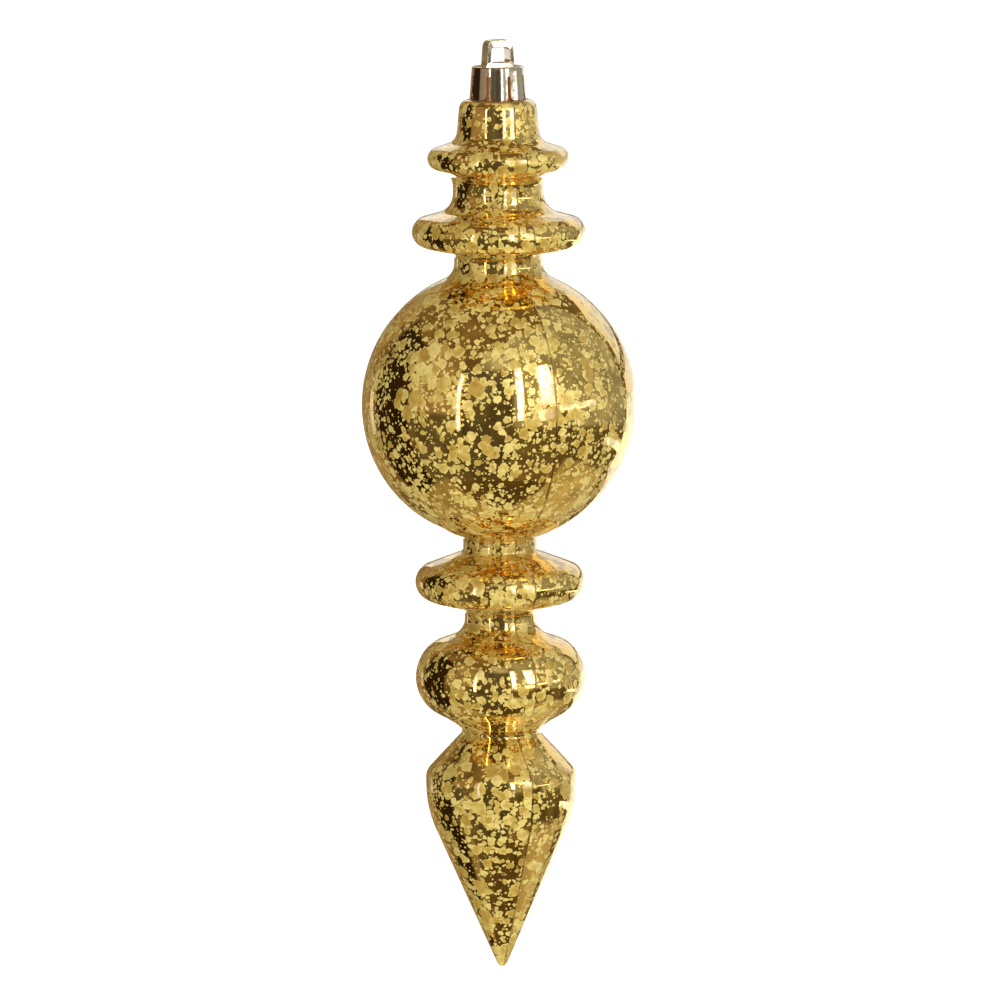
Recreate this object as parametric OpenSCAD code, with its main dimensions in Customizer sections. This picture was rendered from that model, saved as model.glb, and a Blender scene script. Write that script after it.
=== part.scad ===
// Hanging finial ornament: a blown body turned about the Z axis, and a slotted crown cap with a
// closed loop. Nobody can see into the body, so it is one solid. The origin is the middle of the
// underside of the loop's top bar, where the hook bears. Z is up, and the loop's window runs
// along Y.

/* [Hanging loop] */
// Width of the loop at its foot
loop_foot_w = 10.8; // [9:0.1:12]
// Width of the loop across its top
loop_top_w = 9.5; // [8.6:0.1:11]
// Depth of the loop's band at its foot
loop_foot_depth = 5.3; // [4:0.1:6.5]
// Depth of the loop's band at its top
loop_top_depth = 4.3; // [3:0.1:6]
// Thickness of each leg of the loop
loop_leg = 1.4; // [1:0.1:1.8]
// Thickness of the top bar, which bears on the hook
loop_bar = 2.6; // [2:0.1:3.5]
// Thickness of the bar that lies on the cap
loop_sill = 1.3; // [0.8:0.1:2.5]
// Height of the loop's window
window_h = 5.5; // [4.8:0.1:8]
// Radius of the loop's outer corners
loop_corner = 1.8; // [0.6:0.1:2]
// Radius of the window's corners
window_corner = 1; // [0.4:0.1:1.3]

/* [Crown cap] */
// Diameter of the cap across its top
cap_top_d = 18.7; // [16:0.1:21]
// Diameter of the cap across the tips of its tabs
cap_foot_d = 20.5; // [19:0.1:24]
// Height of the cap with its tabs
cap_h = 11.7; // [9:0.1:15]
// Thickness of the cap's disc
cap_disc = 1; // [0.8:0.1:1.6]
// Thickness of the cap's skirt and tabs
cap_wall = 0.8; // [0.6:0.1:1.2]
// Radius of the edge between the disc and the skirt
cap_edge = 0.5; // [0.2:0.1:0.7]
// Number of tabs, with a slot after each
tabs = 8; // [4:1:10]
// Width of a slot between two tabs
slot_w = 1.3; // [0.8:0.1:2]
// Height of the closed band above the slots
band_h = 3; // [2:0.1:5]
// Radius of the lower corners of each tab
tab_corner = 1.7; // [0.5:0.1:1.8]

/* [Neck and collar] */
// Clearance between the cap's skirt and the neck inside it
neck_gap = 0.2; // [0.05:0.05:0.5]
// Clearance between the tips of the tabs and the shoulder
tab_gap = 0.2; // [0:0.05:1]
// Radius at the root of the neck
neck_root = 0.4; // [0.2:0.1:0.6]
// Diameter at the collar's shoulder
shoulder_d = 27.5; // [26.4:0.1:32]
// Radius of the collar's shoulder
shoulder_round = 3.5; // [1.6:0.1:3.6]
// Diameter at the collar's foot
collar_foot_d = 30.4; // [28:0.1:36]
// Radius of the cove at the collar's foot
collar_cove = 4.6; // [1:0.1:6]
// Height of the collar from its foot up to the shoulder
collar_h = 14.8; // [10:0.1:30]

/* [Upper ring] */
// Diameter of the upper ring
upper_ring_d = 51.2; // [44:0.1:60]
// Radius of the upper ring's rim
upper_ring_round = 4.2; // [2.5:0.1:5]
// Slope of the upper ring's top face, from level
upper_ring_top_slope = 19; // [14:1:24]
// Slope of the upper ring's lower face, from level
upper_ring_under_slope = 24; // [16:1:28]
// Diameter of the waist under the upper ring
first_waist_d = 33; // [26:0.1:36]
// Radius of the cove under the upper ring
upper_ring_cove = 4.7; // [1:0.1:5]
// Height of the waist under the upper ring
first_waist_h = 11.2; // [9:0.1:30]

/* [Second ring] */
// Diameter of the second ring
second_ring_d = 62.8; // [54:0.1:66]
// Radius of the second ring's rim
second_ring_round = 5.8; // [3:0.1:6.5]
// Slope of the second ring's top face, from level
second_ring_top_slope = 15; // [10:1:17]
// Slope of the second ring's lower face, from level
second_ring_under_slope = 17; // [12:1:22]
// Radius of the cove over the second ring
second_ring_cove = 7; // [1:0.1:7.4]
// Diameter of the waist over the ball
second_waist_d = 32.4; // [26:0.1:36]
// Height of the waist over the ball
second_waist_h = 6.4; // [5:0.1:30]
// Radius of the cove under the second ring
second_ring_root = 0.8; // [0.4:0.1:1.5]

/* [Ball] */
// Diameter of the ball
ball_d = 100; // [88:1:101]
// Radius of the cove over the ball
ball_top_cove = 6; // [1:0.1:7]
// Radius of the cove under the ball
ball_foot_cove = 1.5; // [0.4:0.1:3]

/* [Saucer] */
// Diameter of the saucer
saucer_d = 62; // [52:0.1:64]
// Radius of the saucer's rim
saucer_round = 7; // [4:0.1:7.4]
// Slope of the saucer's top face, from level
saucer_top_slope = 20.5; // [14:0.5:21]
// Slope of the saucer's lower face, from level
saucer_under_slope = 18.6; // [14:0.1:22]
// Diameter of the waist over the saucer
third_waist_d = 27; // [22:0.1:30]
// Height of the waist over the saucer
third_waist_h = 5; // [3:0.1:30]
// Radius of the cove over the saucer
saucer_cove = 1.5; // [0.4:0.1:2]
// Radius of the cove under the saucer
saucer_root = 0.8; // [0.4:0.1:1.5]

/* [Bead] */
// Diameter of the bead
bead_d = 62.2; // [56:0.1:70]
// Radius of the bead's rim
bead_round = 15.3; // [10:0.1:16]
// Slope of the bead's upper flank, from level
bead_flank_slope = 64; // [60:1:68]
// Slope of the bead's lower face, from level
bead_under_slope = 32.6; // [28:0.1:38]
// Diameter at the bead's shoulder
bead_shoulder_d = 53.8; // [50:0.1:55]
// Radius of the bead's shoulder
bead_shoulder_round = 12.9; // [8:0.1:13]
// Slope of the bead's top face, from level
bead_top_slope = 19.8; // [14:0.1:22]
// Diameter of the waist over the bead
fourth_waist_d = 26; // [22:0.1:30]
// Height of the waist over the bead
fourth_waist_h = 6.9; // [5.6:0.1:30]
// Radius of the cove over the bead
bead_cove = 6.5; // [1:0.1:7]
// Radius of the cove under the bead
bead_root = 2; // [0.4:0.1:2.2]

/* [Cone] */
// Diameter of the cone's shoulder
cone_d = 55.2; // [50:0.1:62]
// Slope of the face over the cone's shoulder, from level
cone_top_slope = 47; // [42:1:52]
// Radius of the cone's shoulder
cone_shoulder_round = 6; // [2:0.1:8]
// Height of the upright band under the shoulder
cone_band = 13.8; // [13:0.1:30]
// Radius where the band turns into the cone
cone_round = 42; // [10:0.5:44]
// Height from the band to the point that the cone would have unrounded
cone_h = 62.2; // [50:0.1:120]
// Radius of the tip
tip_round = 2; // [1.8:0.1:4]
// Diameter of the waist over the cone
fifth_waist_d = 29; // [24:0.1:33]
// Height of the waist over the cone
fifth_waist_h = 1.5; // [1.5:0.1:30]
// Radius of the cove over the cone
cone_cove = 1; // [0.4:0.1:2]

/* [Hidden] */

// Furthest that the chords of a rounded corner lie from its true arc
chord_gap = 0.03;
$fn = 96;
// How far a cut runs past what it cuts, and how far the loop's foot is sunk into the disc
past = 0.5;
// A point this close to the axis counts as on it
near_axis = 0.001;

// A corner is [radius from the axis, height, radius of its rounding]. Each form is known by the
// sharp corner at which the two faces of its rim would meet, with the rim itself at height 0
function rim(d, round, top, under) =
    let (reach = round / cos(90 - (top + under) / 2), lean = (under - top) / 2)
    [d / 2 - round + reach * cos(lean), reach * sin(lean), round];

// Height at which a form's face, which rises by slope towards the axis, meets a diameter
function meet_z(form, slope, d) = form[1] + (form[0] - d / 2) * tan(slope);

// The form's own corner, and the corner at the foot of one of its faces, with the rim at z
function edge(form, z) = [form[0], z + form[1], form[2]];
function foot(form, z, slope, d, round) = [d / 2, z + meet_z(form, slope, d), round];

// Height of the next form's rim, past a waist of this diameter and height
function next_z(z, form, under, waist_d, waist_h, next, top) =
    z + meet_z(form, -under, waist_d) - waist_h - meet_z(next, top, waist_d);

// Slope of the ball's face where it runs into a cove of this radius on this waist
function ball_slope(waist_d, cove) = asin((waist_d / 2 + cove) / (ball_d / 2 + cove));

upper_ring = rim(upper_ring_d, upper_ring_round, upper_ring_top_slope, upper_ring_under_slope);
second_ring = rim(second_ring_d, second_ring_round, second_ring_top_slope, second_ring_under_slope);
ball_top_slope = ball_slope(second_waist_d, ball_top_cove);
ball_under_slope = ball_slope(third_waist_d, ball_foot_cove);
ball = rim(ball_d, ball_d / 2, ball_top_slope, ball_under_slope);
saucer = rim(saucer_d, saucer_round, saucer_top_slope, saucer_under_slope);
bead = rim(bead_d, bead_round, bead_flank_slope, bead_under_slope);
bead_shoulder = foot(bead, 0, bead_flank_slope, bead_shoulder_d, bead_shoulder_round);
cone_shoulder = [cone_d / 2, 0, cone_shoulder_round];

// Heights, from the hook's seat down
cap_top_z = -window_h - loop_sill;
neck_rim_z = cap_top_z - cap_disc;
cap_foot_z = cap_top_z - cap_h;
shoulder_z = cap_foot_z - tab_gap;
upper_z = shoulder_z - collar_h - meet_z(upper_ring, upper_ring_top_slope, collar_foot_d);
second_z = next_z(upper_z, upper_ring, upper_ring_under_slope, first_waist_d, first_waist_h,
    second_ring, second_ring_top_slope);
ball_z = next_z(second_z, second_ring, second_ring_under_slope, second_waist_d, second_waist_h,
    ball, ball_top_slope);
saucer_z = next_z(ball_z, ball, ball_under_slope, third_waist_d, third_waist_h, saucer, saucer_top_slope);
bead_z = next_z(saucer_z, saucer, saucer_under_slope, fourth_waist_d, fourth_waist_h,
    bead_shoulder, bead_top_slope);
cone_z = next_z(bead_z, bead, bead_under_slope, fifth_waist_d, fifth_waist_h, cone_shoulder, cone_top_slope);
cone_start_z = cone_z - cone_band;
cone_point_z = cone_start_z - cone_h;

function place(corner) = [corner[0], corner[1]];
function unit(v) = v / norm(v);

// Points along the arc that rounds corner b between its neighbours a and c
function arc(a, b, c) =
    let (
        u = unit(place(a) - place(b)),
        v = unit(place(c) - place(b)),
        open = acos(u * v),
        r = b[2],
        centre = place(b) + unit(u + v) * r / sin(open / 2),
        start = place(b) + u * r / tan(open / 2) - centre,
        end = place(b) + v * r / tan(open / 2) - centre,
        sweep = 180 - open,
        half_steps = ceil(sweep / 4 / acos(1 - min(0.5, chord_gap / r))),
        steps = 2 * half_steps
    )
    [for (i = [0 : steps])
        centre + (sin(sweep * (1 - i / steps)) * start + sin(sweep * i / steps) * end) / sin(sweep)];

// An open row of corners with its inner corners rounded. Its two ends only give directions
function rounded(row) = [
    for (i = [1 : len(row) - 2])
        each row[i][2] > 0 ? arc(row[i - 1], row[i], row[i + 1]) : [place(row[i])]
];

// A closed ring of corners, rounded
function rounded_ring(ring) = rounded(concat([ring[len(ring) - 1]], ring, [ring[0]]));

// Half width and half depth of the loop at a height above the hook's seat
loop_run = loop_bar - cap_top_z;
function loop_share(z) = (z - cap_top_z) / loop_run;
function loop_half_w(z) = (loop_foot_w + (loop_top_w - loop_foot_w) * loop_share(z)) / 2;
function loop_half_depth(z) = (loop_foot_depth + (loop_top_depth - loop_foot_depth) * loop_share(z)) / 2;

// The neck follows the inside of the skirt, a clearance away
skirt_lean = (cap_foot_d - cap_top_d) / 2 / cap_h;
function neck_d(z) = cap_top_d - 2 * cap_wall - 2 * neck_gap + 2 * skirt_lean * (cap_top_z - z);

// The body's corners, from the neck's rim down to the tip on the axis
body_corners = [
    [neck_d(neck_rim_z) / 2, neck_rim_z, 0],
    [neck_d(shoulder_z) / 2, shoulder_z, neck_root],
    [shoulder_d / 2, shoulder_z, shoulder_round],
    foot(upper_ring, upper_z, upper_ring_top_slope, collar_foot_d, collar_cove),
    edge(upper_ring, upper_z),
    foot(upper_ring, upper_z, -upper_ring_under_slope, first_waist_d, upper_ring_cove),
    foot(second_ring, second_z, second_ring_top_slope, first_waist_d, second_ring_cove),
    edge(second_ring, second_z),
    foot(second_ring, second_z, -second_ring_under_slope, second_waist_d, second_ring_root),
    foot(ball, ball_z, ball_top_slope, second_waist_d, ball_top_cove),
    edge(ball, ball_z),
    foot(ball, ball_z, -ball_under_slope, third_waist_d, ball_foot_cove),
    foot(saucer, saucer_z, saucer_top_slope, third_waist_d, saucer_cove),
    edge(saucer, saucer_z),
    foot(saucer, saucer_z, -saucer_under_slope, fourth_waist_d, saucer_root),
    foot(bead_shoulder, bead_z, bead_top_slope, fourth_waist_d, bead_cove),
    edge(bead_shoulder, bead_z),
    edge(bead, bead_z),
    foot(bead, bead_z, -bead_under_slope, fifth_waist_d, bead_root),
    foot(cone_shoulder, cone_z, cone_top_slope, fifth_waist_d, cone_cove),
    edge(cone_shoulder, cone_z),
    [cone_d / 2, cone_start_z, cone_round],
    [0, cone_point_z, tip_round]
];

// The row is carried on past both ends, straight up from the neck and mirrored past the tip
above_neck = 2 * body_corners[0] - body_corners[1];
past_tip = [-cone_d / 2, cone_start_z, 0];
body_arcs = rounded(concat([above_neck], body_corners, [past_tip]));
body_line = [for (p = body_arcs) if (p[0] > -near_axis) [max(p[0], 0), p[1]]];

cap_corners = [
    [0, cap_top_z, 0],
    [cap_top_d / 2, cap_top_z, cap_edge],
    [cap_foot_d / 2, cap_foot_z, 0],
    [cap_foot_d / 2 - cap_wall, cap_foot_z, 0],
    [neck_d(neck_rim_z) / 2 + neck_gap, neck_rim_z, 0],
    [0, neck_rim_z, 0]
];

slot_top = cap_h - band_h;
// The slot's top is all but a half round
slot_round = 0.49 * slot_w;
// The slot's cut starts well inside the skirt
slot_start = cap_top_d / 4;
// The slot in the flat, from the tips of the tabs up, with the tabs' corners beside its mouth
slot_corners = [
    [-slot_w / 2 - tab_corner, -past, 0],
    [-slot_w / 2 - tab_corner, 0, 0],
    [-slot_w / 2, 0, tab_corner],
    [-slot_w / 2, slot_top, slot_round],
    [slot_w / 2, slot_top, slot_round],
    [slot_w / 2, 0, tab_corner],
    [slot_w / 2 + tab_corner, 0, 0],
    [slot_w / 2 + tab_corner, -past, 0]
];

module ornament_body() {
    color("goldenrod")
        rotate_extrude()
            polygon(concat([[0, neck_rim_z]], body_line));
}

module cap_slot() {
    rotate([90, 0, 0])
        translate([0, cap_foot_z, slot_start])
            linear_extrude(cap_foot_d / 2)
                polygon(rounded_ring(slot_corners));
}

module slotted_cap() {
    difference() {
        rotate_extrude()
            polygon(rounded_ring(cap_corners));
        for (i = [0 : tabs - 1])
            rotate([0, 0, i * 360 / tabs])
                cap_slot();
    }
}

module loop_front() {
    root_z = cap_top_z - past;
    difference() {
        polygon(rounded_ring([
            [-loop_half_w(root_z), root_z, 0],
            [-loop_half_w(loop_bar), loop_bar, loop_corner],
            [loop_half_w(loop_bar), loop_bar, loop_corner],
            [loop_half_w(root_z), root_z, 0]
        ]));
        polygon(rounded_ring([
            [-loop_half_w(-window_h) + loop_leg, -window_h, window_corner],
            [-loop_half_w(0) + loop_leg, 0, window_corner],
            [loop_half_w(0) - loop_leg, 0, window_corner],
            [loop_half_w(-window_h) - loop_leg, -window_h, window_corner]
        ]));
    }
}

module loop_side() {
    root_z = cap_top_z - past;
    polygon([
        [-loop_half_depth(root_z), root_z],
        [-loop_half_depth(loop_bar), loop_bar],
        [loop_half_depth(loop_bar), loop_bar],
        [loop_half_depth(root_z), root_z]
    ]);
}

module hanging_loop() {
    intersection() {
        rotate([90, 0, 0])
            linear_extrude(2 * loop_foot_depth + 2 * loop_top_depth, center = true)
                loop_front();
        rotate([90, 0, 90])
            linear_extrude(2 * loop_foot_w + 2 * loop_top_w, center = true)
                loop_side();
    }
}

module crown_cap() {
    color("silver") {
        slotted_cap();
        hanging_loop();
    }
}

ornament_body();
crown_cap();
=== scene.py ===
# Looks for a hanging Christmas ornament: a blown drop with an antiqued gold mercury finish, and
# the bright crown cap that it hangs from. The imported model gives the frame, the drop's outline
# and every place. Lengths are in metres, and MM turns a workshop size into them.
import math

import bpy
from mathutils import Matrix, Vector


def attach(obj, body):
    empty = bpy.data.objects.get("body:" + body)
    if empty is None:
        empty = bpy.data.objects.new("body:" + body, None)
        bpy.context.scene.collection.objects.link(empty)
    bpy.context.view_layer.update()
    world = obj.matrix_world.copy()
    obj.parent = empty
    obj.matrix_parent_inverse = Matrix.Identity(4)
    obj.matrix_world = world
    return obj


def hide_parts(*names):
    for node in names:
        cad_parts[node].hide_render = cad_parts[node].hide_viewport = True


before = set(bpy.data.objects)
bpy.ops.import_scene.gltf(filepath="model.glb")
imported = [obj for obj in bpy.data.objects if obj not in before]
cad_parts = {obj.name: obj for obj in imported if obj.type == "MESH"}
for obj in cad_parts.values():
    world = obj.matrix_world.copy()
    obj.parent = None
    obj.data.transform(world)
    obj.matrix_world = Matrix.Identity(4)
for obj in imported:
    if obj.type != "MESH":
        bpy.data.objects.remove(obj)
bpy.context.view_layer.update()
scene = bpy.context.scene
MM = 0.001


# Shared helpers

def add(tree, kind, fill=None, out=0, **settings):
    """Adds one node with its settings, fills or links its inputs, and returns one output."""
    node = tree.nodes.new(kind)
    for name, value in settings.items():
        setattr(node, name, value)
    for name, value in (fill or {}).items():
        if isinstance(value, bpy.types.NodeSocket):
            tree.links.new(value, node.inputs[name])
        else:
            node.inputs[name].default_value = value
    return node if out is None else node.outputs[out]


def colour(code):
    """Turns an sRGB hex colour into linear red, green, blue and alpha."""
    parts = [int(code[i:i + 2], 16) / 255 for i in (0, 2, 4)]
    linear = [p / 12.92 if p <= 0.04045 else ((p + 0.055) / 1.055) ** 2.4 for p in parts]
    return (*linear, 1.0)


def new_object(name, data):
    """Puts a mesh, lamp or camera into the scene."""
    made = bpy.data.objects.new(name, data)
    scene.collection.objects.link(made)
    return made


def mesh_of(name, points, faces):
    """A smooth-shaded mesh from points and faces."""
    mesh = bpy.data.meshes.new(name)
    mesh.from_pydata(points, [], faces)
    mesh.shade_smooth()
    return mesh


def grow(name, tree, start, given):
    """Runs a node tree on a starting mesh and keeps the result as a plain piece."""
    seed = new_object(name + "_start", start)
    modifier = seed.modifiers.new(tree.name, "NODES")
    modifier.node_group = tree
    for item in tree.interface.items_tree:
        if item.in_out == "INPUT" and item.name in given:
            modifier[item.identifier] = given[item.name]
    return baked(name, seed)


def baked(name, source):
    """Turns an object and its modifiers into a plain piece and takes the object away."""
    ready = source.evaluated_get(bpy.context.evaluated_depsgraph_get())
    mesh = bpy.data.meshes.new_from_object(ready)
    bpy.data.objects.remove(source)
    return new_object(name, mesh)


# Blown drop

# The drop is turned in so many sides. Its outline bends by at most this much from one ring to
# the next, and straight stretches get a ring at least this often, so that the mirror is even.
SIDES = 160
RING_BEND = math.radians(4.2)
RING_GAP = 3.2 * MM
NECK_RIM_ROUND = 0.25 * MM

# Two spots of the outline nearer than this are one, and a smaller bend than this is none
SAME_SPOT = 0.02 * MM
STRAIGHT = math.radians(0.5)


def outline_of(node):
    """The bends of a turned node's outline as (radius, height), from its neck down to its tip."""
    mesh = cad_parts[node].data
    spots = {(round(-v.co.z, 7), round(math.hypot(v.co.x, v.co.y), 7)) for v in mesh.vertices}
    line = []
    for depth, radius in sorted(spots):
        spot = Vector((radius, -depth))
        if line and (spot - line[-1]).length < SAME_SPOT:
            continue
        while len(line) > 1 and (line[-1] - line[-2]).angle(spot - line[-1]) < STRAIGHT:
            line.pop()
        line.append(spot)
    return line


def eased(line):
    """The outline as closely spaced points, with its bends eased into smooth curves."""
    above = 2 * line[0] - line[1]
    past_tip = Vector((-line[-2].x, line[-2].y))
    row = [above, *line, past_tip]
    leads = [(row[i + 1] - row[i - 1]).normalized() for i in range(1, len(row) - 1)]
    points = []
    for a, b, lead_a, lead_b in zip(line, line[1:], leads, leads[1:]):
        span = (b - a).length
        steps = max(math.ceil(lead_a.angle(lead_b) / RING_BEND), math.ceil(span / RING_GAP))
        for i in range(steps):
            t = i / steps
            points.append(
                (2 * t**3 - 3 * t**2 + 1) * a + (t**3 - 2 * t**2 + t) * span * lead_a
                + (3 * t**2 - 2 * t**3) * b + (t**3 - t**2) * span * lead_b)
    points.append(line[-1])
    rim = points[0]
    inside = Vector((rim.x - NECK_RIM_ROUND, rim.y))
    return [Vector((0, rim.y)), inside, rim - Vector((0, NECK_RIM_ROUND)), *points[1:]]


def turned_body_tree():
    """Turns an outline, whose points are radius and height, about the Z axis."""
    tree = bpy.data.node_groups.new("Turned body", "GeometryNodeTree")
    tree.interface.new_socket("Outline", in_out="INPUT", socket_type="NodeSocketGeometry")
    tree.interface.new_socket("Sides", in_out="INPUT", socket_type="NodeSocketInt")
    tree.interface.new_socket("Finish", in_out="INPUT", socket_type="NodeSocketMaterial")
    tree.interface.new_socket("Body", in_out="OUTPUT", socket_type="NodeSocketGeometry")
    given = add(tree, "NodeGroupInput", out=None)
    rings = add(tree, "GeometryNodeAttributeDomainSize", {"Geometry": given.outputs["Outline"]})
    across = add(tree, "ShaderNodeMath", {0: given.outputs["Sides"], 1: 1.0}, operation="ADD")
    sheet = add(tree, "GeometryNodeMeshGrid", {"Vertices X": across, "Vertices Y": rings})
    index = add(tree, "GeometryNodeInputIndex")
    ring = add(tree, "ShaderNodeMath", {0: index, 1: rings}, operation="MODULO")
    share = add(tree, "ShaderNodeMath", {0: index, 1: rings}, operation="DIVIDE")
    side = add(tree, "ShaderNodeMath", {0: share}, operation="FLOOR")
    part = add(tree, "ShaderNodeMath", {0: side, 1: given.outputs["Sides"]}, operation="DIVIDE")
    # The turn runs clockwise, so that the faces point outwards
    angle = add(tree, "ShaderNodeMath", {0: part, 1: -2 * math.pi}, operation="MULTIPLY")
    place = add(tree, "GeometryNodeInputPosition")
    bend = add(tree, "GeometryNodeSampleIndex", {
        "Geometry": given.outputs["Outline"], "Value": place, "Index": ring,
    }, data_type="FLOAT_VECTOR")
    split = add(tree, "ShaderNodeSeparateXYZ", {0: bend}, out=None)
    cosine = add(tree, "ShaderNodeMath", {0: angle}, operation="COSINE")
    sine = add(tree, "ShaderNodeMath", {0: angle}, operation="SINE")
    x = add(tree, "ShaderNodeMath", {0: cosine, 1: split.outputs["X"]}, operation="MULTIPLY")
    y = add(tree, "ShaderNodeMath", {0: sine, 1: split.outputs["X"]}, operation="MULTIPLY")
    spot = add(tree, "ShaderNodeCombineXYZ", {"X": x, "Y": y, "Z": split.outputs["Z"]})
    turned = add(tree, "GeometryNodeSetPosition", {"Geometry": sheet, "Position": spot})
    closed = add(tree, "GeometryNodeMergeByDistance", {"Geometry": turned, "Distance": 1e-6})
    smooth = add(tree, "GeometryNodeSetShadeSmooth", {"Geometry": closed})
    real = add(tree, "GeometryNodeRealizeInstances", {"Geometry": smooth})
    coated = add(tree, "GeometryNodeSetMaterial", {
        "Geometry": real, "Material": given.outputs["Finish"],
    })
    add(tree, "NodeGroupOutput", {"Body": coated}, out=None)
    return tree


# Crown cap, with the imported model's sizes

TABS = 8
CAP_TOP = -6.8 * MM
CAP_FOOT = -18.5 * MM
CAP_TOP_RADIUS = 9.35 * MM
CAP_FOOT_RADIUS = 10.25 * MM
CAP_EDGE_ROUND = 0.65 * MM
CAP_WALL = 0.6 * MM
SLOT_HALF = 0.65 * MM
SLOT_TOP = CAP_FOOT + 8.7 * MM
TAB_CORNER = 1.7 * MM
LOOP_TOP = 2.6 * MM
TAB_EDGE = 0.14 * MM
LOOP_EDGE = 0.32 * MM

# Half the loop's width and depth where it meets the disc, and what they lose towards the top, in mm
LOOP_HALF_WIDTH, LOOP_NARROWS = 5.4, 0.65
LOOP_HALF_DEPTH, LOOP_LEAN = 2.65, 0.5
# The foot flares out by this many mm of depth from one height down to the other
LOOP_FLARE = 0.22
FLARE_TOP = -5.9 * MM
FLARE_HEIGHT = 1.2 * MM

# Copies that meet are joined over this gap, and edges sharper than this are rounded in so many steps
JOIN_GAP = 0.002 * MM
SHARP_EDGE = math.radians(45)
EDGE_STEPS = 3


def skirt_radius(z):
    """The skirt's outer radius, which widens from the disc to the tips of the tabs."""
    return CAP_TOP_RADIUS + (CAP_FOOT_RADIUS - CAP_TOP_RADIUS) * (CAP_TOP - z) / (CAP_TOP - CAP_FOOT)


def tab_rows():
    """Radius, height and half a slot's width in each row of the cap's skin, from its middle out."""
    edge_z = CAP_TOP - CAP_EDGE_ROUND
    edge_centre = skirt_radius(edge_z) - CAP_EDGE_ROUND
    rows = [(edge_centre * share, CAP_TOP, 0) for share in (0, 0.25, 0.5, 0.72, 0.88)]
    for step in range(6):
        a = math.radians(90 * step / 5)
        rows.append((edge_centre + CAP_EDGE_ROUND * math.sin(a),
                     edge_z + CAP_EDGE_ROUND * math.cos(a), 0))
    heights = [(edge_z + (SLOT_TOP - edge_z) * share, 0) for share in (0.34, 0.67)]
    for step in range(8):
        a = math.radians(90 * step / 7)
        heights.append((SLOT_TOP - SLOT_HALF * (1 - math.cos(a)), SLOT_HALF * math.sin(a)))
    straight_top, straight_foot = SLOT_TOP - SLOT_HALF, CAP_FOOT + TAB_CORNER
    for step in range(1, 6):
        heights.append((straight_top + (straight_foot - straight_top) * step / 6, SLOT_HALF))
    for step in range(9):
        a = math.radians(90 * step / 8)
        heights.append((straight_foot - TAB_CORNER * math.sin(a),
                        SLOT_HALF + TAB_CORNER * (1 - math.cos(a))))
    return rows + [(skirt_radius(z), z, half) for z, half in heights]


def tab_skin():
    """The outer skin of one tab and its slice of the disc, with the tab's middle towards X."""
    across = 16
    points, faces = [], []
    for radius, z, slot_half in tab_rows():
        half_turn = math.pi / TABS - (slot_half / radius if radius else 0)
        for i in range(across + 1):
            a = half_turn * (2 * i / across - 1)
            points.append((radius * math.cos(a), radius * math.sin(a), z))
    row = across + 1
    for j in range(len(points) // row - 1):
        for i in range(across):
            near = j * row + i
            faces.append((near, near + row, near + row + 1, near + 1))
    return mesh_of("tab_skin", points, faces)


def ring_of_tabs_tree():
    """Repeats one tab round the Z axis. The copies meet along their shared edges."""
    tree = bpy.data.node_groups.new("Ring of tabs", "GeometryNodeTree")
    tree.interface.new_socket("Tab", in_out="INPUT", socket_type="NodeSocketGeometry")
    tree.interface.new_socket("Tabs", in_out="INPUT", socket_type="NodeSocketInt")
    tree.interface.new_socket("Finish", in_out="INPUT", socket_type="NodeSocketMaterial")
    tree.interface.new_socket("Cap", in_out="OUTPUT", socket_type="NodeSocketGeometry")
    given = add(tree, "NodeGroupInput", out=None)
    places = add(tree, "GeometryNodeMeshLine", {
        "Count": given.outputs["Tabs"], "Offset": (0, 0, 0),
    }, mode="OFFSET")
    index = add(tree, "GeometryNodeInputIndex")
    part = add(tree, "ShaderNodeMath", {0: index, 1: given.outputs["Tabs"]}, operation="DIVIDE")
    middle = add(tree, "ShaderNodeMath", {
        0: 0.5, 1: given.outputs["Tabs"],
    }, operation="DIVIDE")
    shifted = add(tree, "ShaderNodeMath", {0: part, 1: middle}, operation="ADD")
    angle = add(tree, "ShaderNodeMath", {0: shifted, 1: 2 * math.pi}, operation="MULTIPLY")
    turn = add(tree, "ShaderNodeCombineXYZ", {"Z": angle})
    copies = add(tree, "GeometryNodeInstanceOnPoints", {
        "Points": places, "Instance": given.outputs["Tab"], "Rotation": turn,
    })
    real = add(tree, "GeometryNodeRealizeInstances", {"Geometry": copies})
    coated = add(tree, "GeometryNodeSetMaterial", {
        "Geometry": real, "Material": given.outputs["Finish"],
    })
    add(tree, "NodeGroupOutput", {"Cap": coated}, out=None)
    return tree


def loop_half_width(z):
    """Half the loop's outer width, which narrows upwards."""
    return (LOOP_HALF_WIDTH - LOOP_NARROWS * (z - CAP_TOP) / (LOOP_TOP - CAP_TOP)) * MM


def loop_half_depth(z):
    """Half the band's depth. Its legs stand upright, its top leans in and its foot flares out."""
    flare = max(0, (FLARE_TOP - z) / FLARE_HEIGHT) ** 2
    lean = ((z - CAP_TOP) / (LOOP_TOP - CAP_TOP)) ** 8
    return (LOOP_HALF_DEPTH - LOOP_LEAN * lean + LOOP_FLARE * flare) * MM


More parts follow.
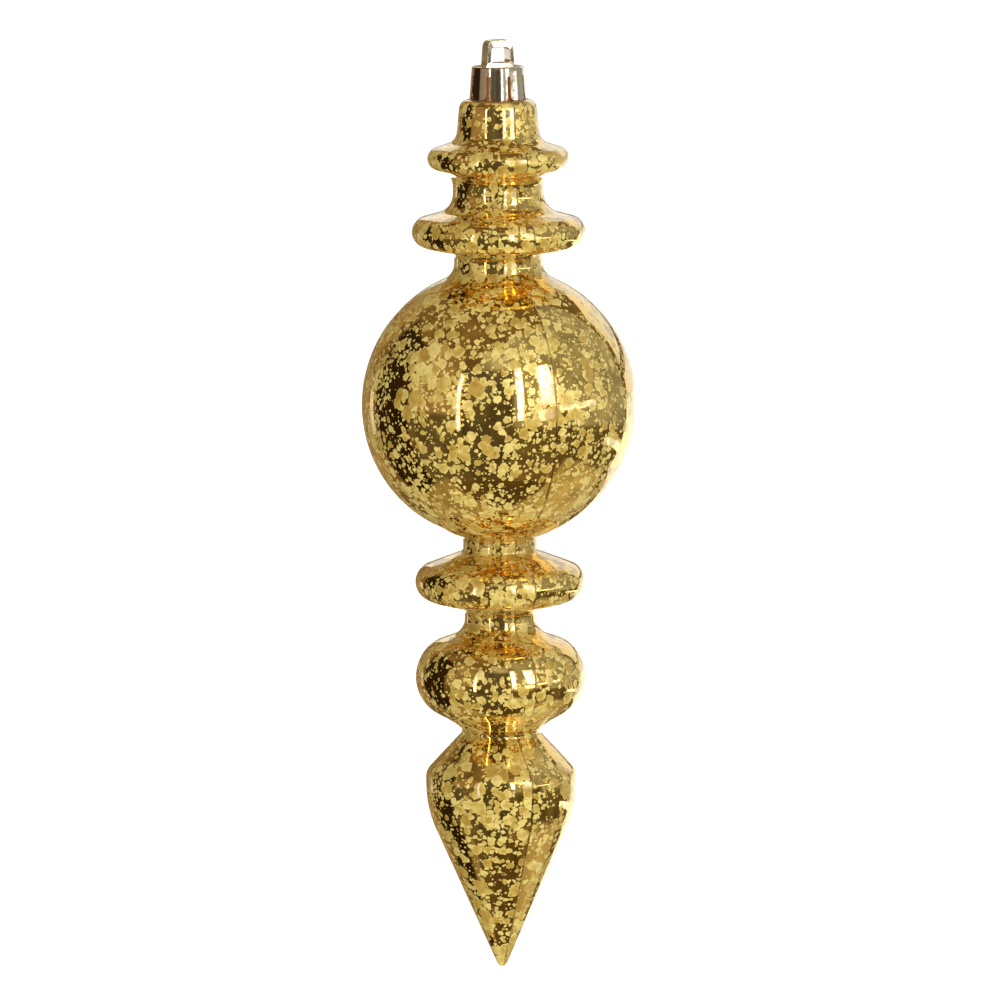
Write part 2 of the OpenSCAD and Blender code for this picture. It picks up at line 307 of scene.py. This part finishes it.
def loop_steps():
    """Pairs of inner and outer points on the loop's right half, from its top to its foot."""
    leg, window_foot, inner_round, outer_round = 1.4 * MM, -5.5 * MM, 1.0 * MM, 1.8 * MM
    inner_x, outer_x = loop_half_width(0) - leg, loop_half_width(LOOP_TOP)
    steps = [((0, 0), (0, LOOP_TOP))]
    steps += [(((inner_x - inner_round) * s, 0), ((outer_x - outer_round) * s, LOOP_TOP))
              for s in (0.4, 0.75)]
    for i in range(8):
        a = math.radians(90 * i / 7)
        steps.append((
            (inner_x - inner_round * (1 - math.sin(a)), -inner_round * (1 - math.cos(a))),
            (outer_x - outer_round * (1 - math.sin(a)), LOOP_TOP - outer_round * (1 - math.cos(a)))))
    side_top, outer_top = -inner_round, LOOP_TOP - outer_round
    side_foot, outer_foot = window_foot + inner_round, -5.2 * MM
    for i in range(1, 7):
        z, outer_z = (a + (b - a) * i / 7 for a, b in ((side_top, side_foot), (outer_top, outer_foot)))
        steps.append(((loop_half_width(z) - leg, z), (loop_half_width(outer_z), outer_z)))
    foot_x = loop_half_width(side_foot) - leg
    # The foot in mm: how far it stands out from the leg, and its height
    foot = [
        (0, -5.2), (0.02, -5.7), (0.09, -6.15), (0.22, -6.5),
        (0.42, -6.8), (0.3, -7.1), (-1.6, -7.1),
    ]
    for i, (out, z) in enumerate(foot):
        a = math.radians(90 * i / 6)
        steps.append((
            (foot_x - inner_round * (1 - math.cos(a)), side_foot - inner_round * math.sin(a)),
            (loop_half_width(z * MM) + out * MM, z * MM)))
    last_in, last_out = steps[-1]
    steps += [((last_in[0] * s, last_in[1]), (last_out[0] * s, last_out[1])) for s in (0.66, 0.33, 0)]
    return steps


def loop_band():
    """The closed band loop, made of four-sided steps round its window."""
    right = loop_steps()
    left = [((-i[0], i[1]), (-o[0], o[1])) for i, o in right[-2:0:-1]]
    points, faces = [], []
    for inner, outer in right + left:
        for (x, z), side in ((inner, -1), (outer, -1), (outer, 1), (inner, 1)):
            points.append((x, side * loop_half_depth(z), z))
    count = len(points)
    for j in range(0, count, 4):
        for i in range(4):
            k = (i + 1) % 4
            faces.append((j + i, (j + 4 + i) % count, (j + 4 + k) % count, j + k))
    return mesh_of("loop_band", points, faces)


def edged(name, mesh, width, wall=None):
    """A piece whose skin gets its wall, and whose sharp edges are rounded as moulded ones are."""
    rough = new_object(name + "_rough", mesh)
    rough.modifiers.new("joined_copies", "WELD").merge_threshold = JOIN_GAP
    if wall:
        thick = rough.modifiers.new("wall", "SOLIDIFY")
        thick.thickness = wall
        thick.offset = -1
        thick.use_even_offset = True
    bevel = rough.modifiers.new("edges", "BEVEL")
    bevel.width = width
    bevel.segments = EDGE_STEPS
    bevel.limit_method = "ANGLE"
    bevel.angle_limit = SHARP_EDGE
    bevel.harden_normals = True
    return baked(name, rough)


def join(first, second):
    """Makes one piece of two."""
    with bpy.context.temp_override(active_object=first, selected_editable_objects=[first, second]):
        bpy.ops.object.join()
    return first


# Studio: where the camera stands, and where lamps and cards stand round the ornament

CAMERA_TURN = -24.0
CAMERA_TILT = 8.4
CAMERA_ROLL = -0.29
CAMERA_LENS = 228.5
CAMERA_REACH = 2.3
CAMERA_AIM = Vector((0, 0, -0.1642))
STUDIO_MIDDLE = Vector((0, 0, -0.17))
DOME_REACH = 5.0
CARD_REACH = 4.9
LAMP_REACH = 4.6
FLOOR_DROP = 5.4
FLOOR_HALF = 200.0
WORLD_LEVEL = 0.75
PAPER_LIFT = 0.5


def facing(turn, tilt):
    """Unit vector from the ornament. Turn 0 is the camera's side and 90 its right, in degrees."""
    a, e = math.radians(CAMERA_TURN + turn), math.radians(tilt)
    return Vector((math.sin(a) * math.cos(e), -math.cos(a) * math.cos(e), math.sin(e)))


def place_camera():
    """A long lens at the photograph's angle, rolled a little as the ornament leans in it."""
    data = bpy.data.cameras.new("camera")
    data.sensor_width = 36
    data.lens = CAMERA_LENS
    data.clip_end = 400
    camera = new_object("camera", data)
    back = facing(0, CAMERA_TILT)
    camera.location = CAMERA_AIM + back * CAMERA_REACH
    roll = Matrix.Rotation(math.radians(CAMERA_ROLL), 4, "Z")
    turn = (-back).to_track_quat("-Z", "Y").to_matrix().to_4x4() @ roll
    camera.rotation_euler = turn.to_euler()
    scene.camera = camera


def seen_directly(tree):
    """1 for camera, glossy and clear rays, and 0 for the rest. The dome below stops the glossy
    ones before they get here, so in this scene only the camera sees the plain background."""
    path = add(tree, "ShaderNodeLightPath", out=None)
    first = add(tree, "ShaderNodeMath", {
        0: path.outputs["Is Camera Ray"], 1: path.outputs["Is Glossy Ray"],
    }, operation="MAXIMUM")
    return add(tree, "ShaderNodeMath", {
        0: first, 1: path.outputs["Is Transmission Ray"],
    }, operation="MAXIMUM")


def light_world(level):
    """White where it is seen, and a plain soft level where it lights things."""
    world = bpy.data.worlds.new("studio")
    world.use_nodes = True
    tree = world.node_tree
    tree.nodes.clear()
    strength = add(tree, "ShaderNodeMath", {
        0: seen_directly(tree), 1: 1 - level, 2: level,
    }, operation="MULTIPLY_ADD")
    sky = add(tree, "ShaderNodeBackground", {"Strength": strength})
    add(tree, "ShaderNodeOutputWorld", {"Surface": sky}, out=None)
    scene.world = world


def paper_floor():
    """Matt white background paper, lifted to white where it is seen directly."""
    material = bpy.data.materials.new("matt_white_paper")
    material.use_nodes = True
    tree = material.node_tree
    tree.nodes.clear()
    lift = add(tree, "ShaderNodeMath", {
        0: seen_directly(tree), 1: PAPER_LIFT,
    }, operation="MULTIPLY")
    paper = add(tree, "ShaderNodeBsdfPrincipled", {
        "Base Color": colour("F1F1EF"), "Roughness": 0.9, "Specular IOR Level": 0.1,
        "Emission Color": colour("FFFFFF"), "Emission Strength": lift,
    })
    add(tree, "ShaderNodeOutputMaterial", {"Surface": paper}, out=None)
    half, height = FLOOR_HALF, STUDIO_MIDDLE.z - FLOOR_DROP
    floor = new_object("floor", mesh_of("floor", [
        (-half, -half, height), (half, -half, height), (half, half, height), (-half, half, height),
    ], [(0, 1, 2, 3)]))
    floor.data.materials.append(material)


def patch_of_dome(name, radius, turn, tilt, step):
    """A patch of a sphere round the ornament. Turn and tilt are its two spans in degrees."""
    across, up = (math.ceil((span[1] - span[0]) / step) for span in (turn, tilt))
    spots = [(turn[0] + (turn[1] - turn[0]) * i / across, tilt[0] + (tilt[1] - tilt[0]) * j / up)
             for j in range(up + 1) for i in range(across + 1)]
    row = across + 1
    faces = [
        (j * row + i, j * row + i + 1, (j + 1) * row + i + 1, (j + 1) * row + i)
        for j in range(up) for i in range(across)]
    mesh = mesh_of(name, [STUDIO_MIDDLE + radius * facing(*spot) for spot in spots], faces)
    return mesh, spots


def for_reflections_only(piece):
    """Keeps a dome or card out of the picture, the shadows and the matt light. Only gloss shows
    it, in place of the white background behind it."""
    piece.visible_camera = False
    piece.visible_diffuse = False
    piece.visible_shadow = False
    piece.visible_transmission = False


def share_inside(value, span, edge):
    """1 inside a span of degrees and 0 outside it, with a soft edge."""
    depth = max(min(v - span[0], span[1] - v) for v in (value - 360, value, value + 360))
    share = min(1.0, max(0.0, depth / edge + 0.5))
    return share * share * (3 - 2 * share)


def reflection_dome():
    """A closed dome of soft-edged patches, whose brightness a noise varies. Only gloss shows it."""
    mesh, spots = patch_of_dome("room", DOME_REACH, (-180, 180), (-90, 90), DOME_STEP)
    shades = [(Vector(colour(code)), turns, tilts) for turns, tilts, code in DOME_PATCHES]
    seen = []
    for turn, tilt in spots:
        shown = Vector(colour(DOME_COLOUR))
        for shade, turns, tilts in shades:
            share = share_inside(turn, turns, PATCH_EDGE) * share_inside(tilt, tilts, PATCH_EDGE)
            shown = shown.lerp(shade, share)
        seen.extend(shown)
    mesh.attributes.new("wall", "FLOAT_COLOR", "POINT").data.foreach_set("color", seen)
    material = bpy.data.materials.new("room")
    material.use_nodes = True
    tree = material.node_tree
    tree.nodes.clear()
    wall = add(tree, "ShaderNodeAttribute", out="Color", attribute_name="wall")
    where = add(tree, "ShaderNodeTexCoord", out="Object")
    mottle = add(tree, "ShaderNodeTexNoise", {"Vector": where, "Scale": 0.8, "Detail": 3.0}, out=0)
    vary = add(tree, "ShaderNodeMapRange", {
        "Value": mottle, "From Min": 0.3, "From Max": 0.7, "To Min": 0.62, "To Max": 1.38,
    })
    glow = add(tree, "ShaderNodeEmission", {"Color": wall, "Strength": vary})
    add(tree, "ShaderNodeOutputMaterial", {"Surface": glow}, out=None)
    mesh.materials.append(material)
    for_reflections_only(new_object("room", mesh))


def card(name, turn, tilt, tone):
    """A curved white card in front of the dome, with sharp edges. Only gloss shows it."""
    mesh = patch_of_dome("card_" + name, CARD_REACH, turn, tilt, CARD_STEP)[0]
    material = bpy.data.materials.new("card_" + name)
    material.use_nodes = True
    tree = material.node_tree
    tree.nodes.clear()
    glow = add(tree, "ShaderNodeEmission", {"Color": colour("FFFFFF"), "Strength": tone})
    add(tree, "ShaderNodeOutputMaterial", {"Surface": glow}, out=None)
    mesh.materials.append(material)
    for_reflections_only(new_object("card_" + name, mesh))


def softbox(name, turn, tilt, width, height, level):
    """An area lamp that faces the ornament. Level is its brightness, where 1 is paper white."""
    data = bpy.data.lights.new("softbox_" + name, "AREA")
    data.shape = "RECTANGLE"
    data.size, data.size_y = width, height
    data.energy = level * math.pi * width * height
    lamp = new_object("softbox_" + name, data)
    back = facing(turn, tilt)
    lamp.location = STUDIO_MIDDLE + back * LAMP_REACH
    lamp.rotation_euler = (-back).to_track_quat("-Z", "Y").to_euler()
    lamp.visible_camera = False
    return lamp


# What gloss shows. This isn't plain studio light: the dome and cards hide the white background
# from the mirror, so the gold and the silver show them instead. They were fitted to the
# reflections in the photograph. Their places follow those, and most of the patches' colours were
# worked out from average colours measured there, divided by the mirror's gold, then adjusted.
# Without the calls of reflection_dome and card, gloss meets the plain background instead.

# A patch of the dome has a span of turn, a span of tilt and a colour. Each is laid over the ones
# before it with a soft edge, in degrees, and the dome's own colour is left between them.
DOME_COLOUR = "7E6C50"
PATCH_EDGE = 3.5
DOME_STEP = 1.5
CARD_STEP = 6
DOME_PATCHES = [
    ((122, 238), (-90, 48), "7B6A4A"),
    ((182, 222), (-28, 42), "97835A"),
    ((-126, -83), (-54, 40), "312519"),
    ((-80, -36), (-4, 46), "A3927C"),
    ((-80, -30), (-62, -2), "6A6450"),
    ((-32, 12), (-62, 8), "5A5546"),
    ((-32, 14), (8, 36), "6A6866"),
    ((-18, 24), (36, 52), "C0C6C2"),
    ((12, 128), (-12, 64), "A7AAA3"),
    ((44, 62), (-30, -1), "655B44"),
    ((12, 132), (-42, -12), "696147"),
    ((-62, 66), (-90, -56), "5C4E32"),
    ((64, 176), (-90, -35), "BDB593"),
    ((-152, -64), (-90, -50), "A39775"),
]

# A card has a brightness instead, where 1 is white
CARDS = [
    ("backdrop", (134, 192), (9, 32), 1.1),
    ("backdrop_middle", (134, 192), (-3, 4.5), 1.1),
    ("backdrop_low", (132, 192), (-28, -3), 1.7),
    ("backdrop_left", (-137, -130), (-14, 0), 1.0),
    ("low_band", (103, 133), (-21.5, -18), 2.6),
    ("sill", (32, 45.5), (-5.5, 2), 3.2),
    ("bar", (51, 87), (0.5, 4), 3.4),
    ("high_bar", (47.4, 53), (8, 30), 1.2),
    ("post", (-36.5, -33.5), (-14, 31), 7.0),
]

# Lamps by name: turn and tilt in degrees, width and height. The strips show in gloss and don't
# light matt surfaces. The soft lamps do, each at its own level, and don't show in gloss.
STRIP_LEVEL = 6.5
STRIPS = [
    ("narrow", 17.6, 16, 0.42, 3.6),
    ("wide", 41.7, 21, 0.95, 2.5),
]
SOFT_LAMPS = [
    ("front", -8, 2, 4.0, 4.0, 1.55),
    ("side", 72, 42, 3.4, 3.4, 1.5),
    ("low", 0, -48, 4.0, 3.0, 1.95),
]

scene.view_settings.view_transform = "Standard"
place_camera()
light_world(WORLD_LEVEL)
paper_floor()
reflection_dome()
for name, turn, tilt, tone in CARDS:
    card(name, turn, tilt, tone)
for name, turn, tilt, width, height in STRIPS:
    strip = softbox(name, turn, tilt, width, height, STRIP_LEVEL)
    strip.visible_diffuse = False
for name, turn, tilt, width, height, level in SOFT_LAMPS:
    soft = softbox(name, turn, tilt, width, height, level)
    soft.visible_glossy = False


# Finishes

# Sprayed drops by size, in mm: their spacing, smallest and largest radius, and their darkest and
# palest share of the finish's range of gold. A radius below nothing leaves that place bare, and
# the finer the drops, the brighter they are. Below them, all in mm: a drop's soft edge, where the
# spray's pattern starts and how far it spreads, how far outlines wander, the heights over which
# the neck's bare part ends, which is painted darker as shade of the cap's recess, and half the
# parting line's width.
DROPS = [
    (1.35, -0.2, 0.58, 0.6, 1.05),
    (1.9, -0.15, 0.86, 0.5, 1.05),
    (2.8, -0.1, 1.3, 0.4, 1.0),
    (4.0, 0.1, 1.85, 0.32, 0.98),
    (5.6, -0.2, 2.3, 0.3, 0.96),
    (8.2, -1.2, 2.6, 0.3, 0.9),
]
DROP_EDGE = 0.07
SPRAY_START = (31.0, 17.0, 5.0)
SPRAY_SPREAD = 13
DRIFT = 1.8
NECK_LINE = (-19.3, -18.7)
SEAM_HALF = 0.42


def drop_layer(tree, where, spacing, smallest, largest, crowd):
    """How deep inside a round drop of this size a point lies, in mm, and the drop's own chance."""
    cells = add(tree, "ShaderNodeTexVoronoi", {
        "Vector": where, "Scale": 1 / spacing, "Randomness": 0.8,
    }, out=None, feature="F1")
    chances = add(tree, "ShaderNodeSeparateColor", {"Color": cells.outputs["Color"]}, out=None)
    radius = add(tree, "ShaderNodeMapRange", {
        "Value": chances.outputs["Red"], "To Min": smallest, "To Max": largest,
    })
    size = add(tree, "ShaderNodeMath", {0: radius, 1: crowd}, operation="MULTIPLY")
    inside = add(tree, "ShaderNodeMath", {
        0: cells.outputs["Distance"], 1: -spacing, 2: size,
    }, operation="MULTIPLY_ADD")
    return inside, chances.outputs["Green"]


def mercury_gold():
    """Blown clear plastic with a gold mirror coat that sprayed drops have etched: soft matt
    drops that run together, and clear mirror in the channels between them, which look dark where
    the mirror meets something dark."""
    material = bpy.data.materials.new("antiqued_gold_mercury_finish")
    material.use_nodes = True
    tree = material.node_tree
    tree.nodes.clear()
    metres = add(tree, "ShaderNodeTexCoord", out="Object")
    mm = add(tree, "ShaderNodeVectorMath", {0: metres, "Scale": 1000.0}, operation="SCALE")

    # Drops run a little, so their outlines wander by some tenths of a millimetre
    drift = add(tree, "ShaderNodeTexNoise", {"Vector": mm, "Scale": 0.55, "Detail": 2.0}, out="Color")
    centred = add(tree, "ShaderNodeVectorMath", {0: drift, 1: (0.5, 0.5, 0.5)}, operation="SUBTRACT")
    where = add(tree, "ShaderNodeVectorMath", {
        0: centred, 1: (DRIFT, DRIFT, DRIFT), 2: mm,
    }, operation="MULTIPLY_ADD")

    # The spray is heavier in some places than in others, over 13 mm or so, and runs together there
    passes = add(tree, "ShaderNodeVectorMath", {0: mm, 1: SPRAY_START}, operation="ADD")
    spray = add(tree, "ShaderNodeTexNoise", {
        "Vector": passes, "Scale": 1 / SPRAY_SPREAD, "Detail": 2.0,
    }, out=0)
    crowd = add(tree, "ShaderNodeMapRange", {
        "Value": spray, "From Min": 0.36, "From Max": 0.64, "To Min": 0.72, "To Max": 1.5,
    })
    inside, shade = None, None
    for spacing, smallest, largest, darkest, palest in DROPS:
        depth, chance = drop_layer(tree, where, spacing, smallest, largest, crowd)
        own = add(tree, "ShaderNodeMapRange", {
            "Value": chance, "To Min": darkest, "To Max": palest,
        })
        if inside is None:
            inside, shade = depth, own
            continue
        lies_over = add(tree, "ShaderNodeMapRange", {
            "Value": depth, "From Min": -DROP_EDGE, "From Max": DROP_EDGE,
        })
        shade = add(tree, "ShaderNodeMix", {0: lies_over, 2: shade, 3: own}, data_type="FLOAT")
        inside = add(tree, "ShaderNodeMath", {0: inside, 1: depth, 2: 0.15}, operation="SMOOTH_MAX")

    # The neck sits in the cap's recess. It has no drops and a less metallic brown finish, whose
    # darkness is painted shade of the recess
    split = add(tree, "ShaderNodeSeparateXYZ", {0: mm}, out=None)
    bare_dark_neck = add(tree, "ShaderNodeMapRange", {
        "Value": split.outputs["Z"], "From Min": NECK_LINE[0], "From Max": NECK_LINE[1],
    })
    inside = add(tree, "ShaderNodeMath", {0: bare_dark_neck, 1: -9.0, 2: inside}, operation="MULTIPLY_ADD")
    drop = add(tree, "ShaderNodeMapRange", {
        "Value": inside, "From Min": -DROP_EDGE, "From Max": DROP_EDGE,
    }, interpolation_type="SMOOTHSTEP")
    cloud = add(tree, "ShaderNodeTexNoise", {"Vector": mm, "Scale": 0.5, "Detail": 4.0}, out=0)
    clouded = add(tree, "ShaderNodeMath", {0: cloud, 1: 1.2, 2: -0.6}, operation="MULTIPLY_ADD")
    rim = add(tree, "ShaderNodeMapRange", {
        "Value": inside, "From Max": 0.7, "To Min": 0.16, "To Max": -0.04,
    })
    mottled = add(tree, "ShaderNodeMath", {0: shade, 1: clouded}, operation="ADD")
    tone = add(tree, "ShaderNodeMath", {0: mottled, 1: rim}, operation="ADD")
    matt = add(tree, "ShaderNodeValToRGB", {"Fac": tone}, out=None)
    ramp = matt.color_ramp
    ramp.elements[0].position, ramp.elements[0].color = 0.0, colour("AC812B")
    ramp.elements[1].position, ramp.elements[1].color = 1.0, colour("FBE284")
    middle = ramp.elements.new(0.5)
    middle.color = colour("D0AB49")
    gold = add(tree, "ShaderNodeMix", {
        0: drop, 6: colour("EABF5E"), 7: matt.outputs["Color"],
    }, out=2, data_type="RGBA")

    # The mould halves leave a fine ridge at the front and back, and a brown line is painted along it
    off_seam = add(tree, "ShaderNodeMath", {0: split.outputs["X"]}, operation="ABSOLUTE")
    ridge = add(tree, "ShaderNodeMapRange", {
        "Value": off_seam, "From Min": SEAM_HALF, "From Max": 0.0,
    }, interpolation_type="SMOOTHSTEP")
    seam_brown_share = add(tree, "ShaderNodeMath", {0: ridge, 1: 0.7}, operation="MULTIPLY")
    lined = add(tree, "ShaderNodeMix", {
        0: seam_brown_share, 6: gold, 7: colour("8A5A2C"),
    }, out=2, data_type="RGBA")
    # The neck's brown here is painted shade of the cap's recess
    base = add(tree, "ShaderNodeMix", {
        0: bare_dark_neck, 6: lined, 7: colour("B97A34"),
    }, out=2, data_type="RGBA")
    grain = add(tree, "ShaderNodeTexNoise", {"Vector": mm, "Scale": 3.0, "Detail": 2.0}, out=0)
    satin = add(tree, "ShaderNodeMapRange", {"Value": grain, "To Min": 0.36, "To Max": 0.5})
    roughness = add(tree, "ShaderNodeMix", {0: drop, 2: 0.05, 3: satin}, data_type="FLOAT")
    matter = add(tree, "ShaderNodeMath", {0: drop, 1: bare_dark_neck}, operation="MAXIMUM")
    metal = add(tree, "ShaderNodeMapRange", {"Value": matter, "To Min": 1.0, "To Max": 0.28})

    # Blown walls roll a little, and the drops stand up by a hair
    roll = add(tree, "ShaderNodeTexNoise", {"Vector": mm, "Scale": 0.055, "Detail": 1.0}, out=0)
    rolling = add(tree, "ShaderNodeBump", {"Height": roll, "Distance": 0.00012, "Strength": 1.0})
    seam = add(tree, "ShaderNodeBump", {
        "Height": ridge, "Distance": 0.00014, "Strength": 1.0, "Normal": rolling,
    })
    dome = add(tree, "ShaderNodeMapRange", {
        "Value": inside, "From Min": -0.1, "From Max": 0.4,
    }, interpolation_type="SMOOTHSTEP")
    relief = add(tree, "ShaderNodeBump", {
        "Height": dome, "Distance": 0.00005, "Strength": 0.7, "Normal": seam,
    })
    shell = add(tree, "ShaderNodeBsdfPrincipled", {
        "Base Color": base, "Metallic": metal, "Roughness": roughness, "Normal": relief,
        "Specular Tint": colour("FCF0D0"),
        "Coat Weight": 1.0, "Coat Roughness": 0.03, "Coat IOR": 1.59, "Coat Normal": seam,
    })
    add(tree, "ShaderNodeOutputMaterial", {"Surface": shell}, out=None)
    return material


def silvered_plastic():
    """Moulded plastic with a vacuum-deposited silver coat: bright as chrome, with the faint
    flow marks of the moulding and a thin haze from handling."""
    material = bpy.data.materials.new("vacuum_silvered_plastic")
    material.use_nodes = True
    tree = material.node_tree
    tree.nodes.clear()
    metres = add(tree, "ShaderNodeTexCoord", out="Object")
    mm = add(tree, "ShaderNodeVectorMath", {0: metres, "Scale": 1000.0}, operation="SCALE")
    haze = add(tree, "ShaderNodeTexNoise", {"Vector": mm, "Scale": 0.35, "Detail": 4.0}, out=0)
    roughness = add(tree, "ShaderNodeMapRange", {
        "Value": haze, "From Min": 0.35, "From Max": 0.7, "To Min": 0.05, "To Max": 0.14,
    })
    base = add(tree, "ShaderNodeMix", {
        0: haze, 6: colour("EEE2D0"), 7: colour("D3C2A8"),
    }, out=2, data_type="RGBA")
    flow = add(tree, "ShaderNodeTexNoise", {"Vector": mm, "Scale": 0.5, "Detail": 1.0}, out=0)
    wavy = add(tree, "ShaderNodeBump", {"Height": flow, "Distance": 0.000016, "Strength": 1.0})
    coat = add(tree, "ShaderNodeBsdfPrincipled", {
        "Base Color": base, "Metallic": 1.0, "Roughness": roughness, "Normal": wavy,
    })
    add(tree, "ShaderNodeOutputMaterial", {"Surface": coat}, out=None)
    return material


# Pieces

outline = eased(outline_of("ornament_body"))
start = mesh_of("outline", [(p.x, 0, p.y) for p in outline], [])
drop = grow("blown_drop", turned_body_tree(), start, {"Sides": SIDES, "Finish": mercury_gold()})
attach(drop, "root")
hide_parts("ornament_body")

silver = silvered_plastic()
skin = grow("cap_skin", ring_of_tabs_tree(), tab_skin(), {"Tabs": TABS, "Finish": silver})
skirt_mesh = skin.data
bpy.data.objects.remove(skin)
cap = edged("moulded_crown_cap", skirt_mesh, TAB_EDGE, wall=CAP_WALL)
band = loop_band()
band.materials.append(silver)
cap = join(cap, edged("loop", band, LOOP_EDGE))
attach(cap, "root")
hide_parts("crown_cap")
